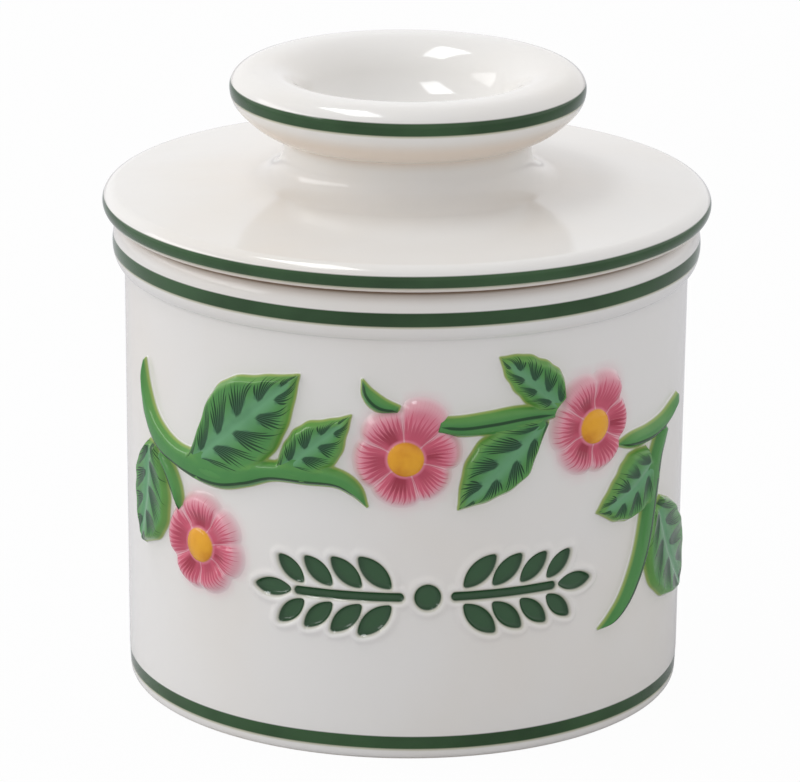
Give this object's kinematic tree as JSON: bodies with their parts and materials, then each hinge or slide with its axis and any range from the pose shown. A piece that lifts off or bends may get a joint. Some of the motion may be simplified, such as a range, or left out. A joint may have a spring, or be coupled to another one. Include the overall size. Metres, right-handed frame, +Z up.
{
  "type": "butter crock",
  "caption": "Round glazed crock with a rolled rim, raised leaf and blossom relief, and a lift-off lid whose dished knob is its serving foot and whose bell holds butter over water.",
  "frame": {"origin": "centre of the crock's foot, on the table", "axes": "+Z up along the turning axis; the decorated front faces -Y; +X is right as seen from the front"},
  "size_m": [0.1016, 0.1016, 0.105],
  "materials": {
    "ivory_glaze": "glossy ivory glaze with deep green painted bands",
    "leaf_glaze": "glossy mid green with dark brushed veins",
    "stem_glaze": "glossy deep green",
    "blossom_glaze": "glossy rose petals with an orange-yellow eye"
  },
  "bodies": {
    "crock": {"crock_body": "ivory_glaze", "leaf_front_far_left": "leaf_glaze", "leaf_front_large": "leaf_glaze", "leaf_front_small_left": "leaf_glaze", "leaf_front_upper_right": "leaf_glaze", "leaf_front_lower_right": "leaf_glaze", "leaf_front_side_branch": "leaf_glaze", "leaf_front_far_right": "leaf_glaze", "leaf_back_1": "leaf_glaze", "leaf_back_2": "leaf_glaze", "leaf_back_3": "leaf_glaze", "leaf_back_4": "leaf_glaze", "leaf_back_5": "leaf_glaze", "leaf_back_6": "leaf_glaze", "vine_front_left": "stem_glaze", "tendril_front_left": "stem_glaze", "bud_front": "stem_glaze", "stem_front_middle": "stem_glaze", "branch_front_right": "stem_glaze", "stem_front_right": "stem_glaze", "vine_back": "stem_glaze", "bud_back": "stem_glaze", "blossom_front_left": "blossom_glaze", "blossom_front_centre": "blossom_glaze", "blossom_front_right": "blossom_glaze", "blossom_back_1": "blossom_glaze", "blossom_back_2": "blossom_glaze", "blossom_back_3": "blossom_glaze"},
    "lid": {"lid_plate": "ivory_glaze", "knob": "ivory_glaze", "bell": "ivory_glaze"}
  },
  "joints": [
    {"name": "lid_lift", "type": "slide", "parent": "crock", "child": "lid", "axis": [0, 0, 1], "range_m": [0, 0.09]}
  ]
}
